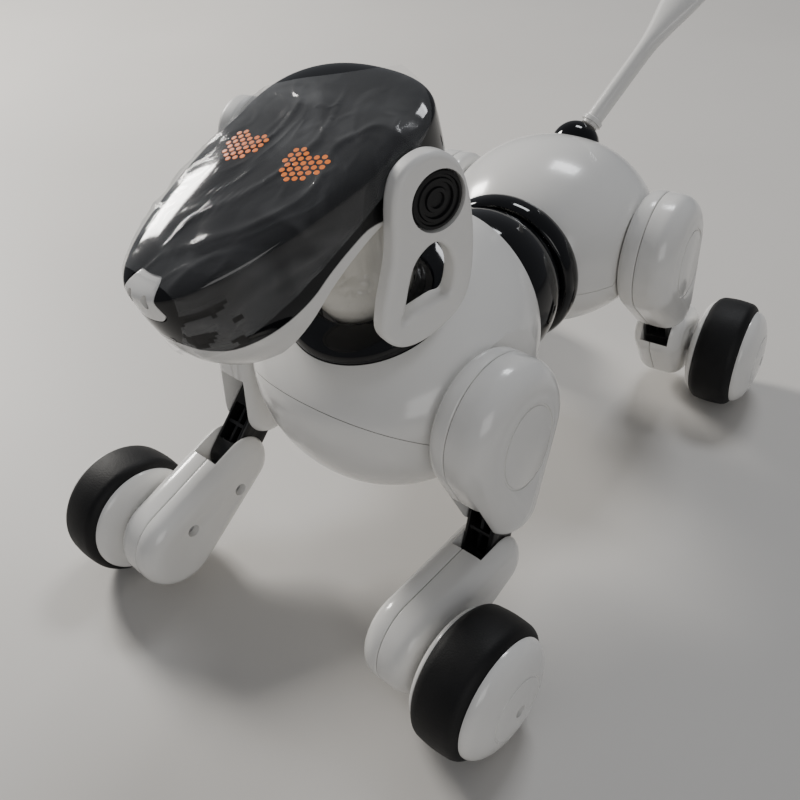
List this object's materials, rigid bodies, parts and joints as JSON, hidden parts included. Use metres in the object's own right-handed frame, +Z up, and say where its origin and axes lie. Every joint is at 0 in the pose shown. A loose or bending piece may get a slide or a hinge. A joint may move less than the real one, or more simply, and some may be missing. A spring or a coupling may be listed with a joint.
{
  "type": "robot dog toy",
  "caption": "Robot dog toy on four wheeled legs, with a dark visor head, ring-shaped ears, a turning waist and an upright tail.",
  "frame": {"origin": "centre of the bounding box on the ground under the dog", "axes": "+Z up, -Y the way the dog looks, +X the dog's left"},
  "size_m": [0.2134, 0.3222, 0.1998],
  "materials": {
    "white_shell": "glossy",
    "black_gloss": "glossy",
    "satin_black": "satin",
    "tyre_rubber": "matte",
    "circuit_board": "satin",
    "cell_wrap": "satin",
    "led_glow": "glossy",
    "clear_film": "clear film"
  },
  "bodies": {
    "chest": {"chest_shell_upper": "white_shell", "chest_shell_lower": "white_shell", "neck_collar": "black_gloss", "battery_door": "white_shell", "battery_pack": "cell_wrap", "main_board": "circuit_board", "speaker": "satin_black", "neck_servo": "satin_black", "waist_core": "black_gloss", "waist_servo": "satin_black"},
    "power_slider": {"power_switch": "satin_black"},
    "neck": {"neck_pod": "white_shell"},
    "head": {"visor": "black_gloss", "face_frame": "white_shell", "head_base": "white_shell", "nose_plate": "white_shell", "eye_panel": "circuit_board", "ear_hub_left": "black_gloss", "ear_hub_right": "black_gloss"},
    "left_ear": {"ear_left": "white_shell"},
    "right_ear": {"ear_right": "white_shell"},
    "rump": {"rump_rim": "black_gloss", "rump_shell_upper": "white_shell", "rump_shell_lower": "white_shell", "charge_port_cover": "satin_black", "tail_servo": "satin_black"},
    "tail_body": {"tail_base": "black_gloss", "tail": "white_shell"},
    "front_left_thigh": {"thigh_outer_front_left": "white_shell", "thigh_inner_front_left": "white_shell", "knee_link_front_left": "satin_black"},
    "front_left_shin": {"shin_outer_front_left": "white_shell", "shin_inner_front_left": "white_shell"},
    "front_left_wheel": {"tyre_front_left": "tyre_rubber", "hub_outer_front_left": "white_shell", "hub_inner_front_left": "white_shell"},
    "front_right_thigh": {"thigh_outer_front_right": "white_shell", "thigh_inner_front_right": "white_shell", "knee_link_front_right": "satin_black"},
    "front_right_shin": {"shin_outer_front_right": "white_shell", "shin_inner_front_right": "white_shell"},
    "front_right_wheel": {"tyre_front_right": "tyre_rubber", "hub_outer_front_right": "white_shell", "hub_inner_front_right": "white_shell"},
    "rear_left_thigh": {"thigh_outer_rear_left": "white_shell", "thigh_inner_rear_left": "white_shell", "knee_link_rear_left": "satin_black"},
    "rear_left_shin": {"shin_outer_rear_left": "white_shell", "shin_inner_rear_left": "white_shell"},
    "rear_left_wheel": {"tyre_rear_left": "tyre_rubber", "hub_outer_rear_left": "white_shell", "hub_inner_rear_left": "white_shell"},
    "rear_right_thigh": {"thigh_outer_rear_right": "white_shell", "thigh_inner_rear_right": "white_shell", "knee_link_rear_right": "satin_black"},
    "rear_right_shin": {"shin_outer_rear_right": "white_shell", "shin_inner_rear_right": "white_shell"},
    "rear_right_wheel": {"tyre_rear_right": "tyre_rubber", "hub_outer_rear_right": "white_shell", "hub_inner_rear_right": "white_shell"}
  },
  "joints": [
    {"name": "power_slide", "type": "slide", "parent": "chest", "child": "power_slider", "axis": [0, 1, 0], "range_m": [0, 0.004]},
    {"name": "neck_turn", "type": "hinge", "parent": "chest", "child": "neck", "pos_m": [0.00641, -0.06468, 0.12797], "axis": [0, -0.4226, 0.9063], "range_deg": [-35, 35]},
    {"name": "head_nod", "type": "hinge", "parent": "neck", "child": "head", "pos_m": [0.00641, -0.06968, 0.16597], "axis": [1, 0, 0], "range_deg": [-12, 12]},
    {"name": "left_ear_swing", "type": "hinge", "parent": "head", "child": "left_ear", "pos_m": [0.04481, -0.07462, 0.17595], "axis": [0.9703, -0.2419, 0], "range_deg": [-15, 20]},
    {"name": "right_ear_swing", "type": "hinge", "parent": "head", "child": "right_ear", "pos_m": [-0.03199, -0.07462, 0.17595], "axis": [0.9703, 0.2419, 0], "range_deg": [-15, 20]},
    {"name": "waist_turn", "type": "hinge", "parent": "chest", "child": "rump", "pos_m": [0.00641, -0.00288, 0.09697], "axis": [0, 0, 1], "range_deg": [-22, 5]},
    {"name": "tail_wag", "type": "hinge", "parent": "rump", "child": "tail_body", "pos_m": [-0.00727, 0.08709, 0.12447], "axis": [0.1063, -0.6991, 0.7071], "range_deg": [-17, 53]},
    {"name": "front_left_hip", "type": "hinge", "parent": "chest", "child": "front_left_thigh", "pos_m": [0.06071, -0.06468, 0.09397], "axis": [-1, 0, 0], "range_deg": [-21, 43]},
    {"name": "front_left_knee", "type": "hinge", "parent": "front_left_thigh", "child": "front_left_shin", "pos_m": [0.06071, -0.07051, 0.03417], "axis": [-1, 0, 0], "range_deg": [-53, 20]},
    {"name": "front_left_wheel_spin", "type": "hinge", "parent": "front_left_shin", "child": "front_left_wheel", "pos_m": [0.08851, -0.11068, 0.02597], "axis": [-1, 0, 0], "continuous": true},
    {"name": "front_right_hip", "type": "hinge", "parent": "chest", "child": "front_right_thigh", "pos_m": [-0.04789, -0.06468, 0.09397], "axis": [-1, 0, 0], "range_deg": [-50, 14]},
    {"name": "front_right_knee", "type": "hinge", "parent": "front_right_thigh", "child": "front_right_shin", "pos_m": [-0.04789, -0.09882, 0.04452], "axis": [-1, 0, 0], "range_deg": [-9, 64]},
    {"name": "front_right_wheel_spin", "type": "hinge", "parent": "front_right_shin", "child": "front_right_wheel", "pos_m": [-0.07569, -0.13538, 0.02597], "axis": [-1, 0, 0], "continuous": true},
    {"name": "rear_left_hip", "type": "hinge", "parent": "rump", "child": "rear_left_thigh", "pos_m": [0.0468, 0.07205, 0.09397], "axis": [0.9886, 0.1504, 0], "range_deg": [-49, 15]},
    {"name": "rear_left_knee", "type": "hinge", "parent": "rear_left_thigh", "child": "rear_left_shin", "pos_m": [0.04298, 0.09719, 0.03852], "axis": [0.9886, 0.1504, 0], "range_deg": [-18, 39]},
    {"name": "rear_left_wheel_spin", "type": "hinge", "parent": "rear_left_shin", "child": "rear_left_wheel", "pos_m": [0.06812, 0.11676, 0.02597], "axis": [0.9886, 0.1504, 0], "continuous": true},
    {"name": "rear_right_hip", "type": "hinge", "parent": "rump", "child": "rear_right_thigh", "pos_m": [-0.05443, 0.05665, 0.09397], "axis": [0.9886, 0.1504, 0], "range_deg": [-49, 15]},
    {"name": "rear_right_knee", "type": "hinge", "parent": "rear_right_thigh", "child": "rear_right_shin", "pos_m": [-0.05826, 0.08179, 0.03852], "axis": [0.9886, 0.1504, 0], "range_deg": [-18, 39]},
    {"name": "rear_right_wheel_spin", "type": "hinge", "parent": "rear_right_shin", "child": "rear_right_wheel", "pos_m": [-0.08808, 0.093, 0.02597], "axis": [0.9886, 0.1504, 0], "continuous": true}
  ]
}
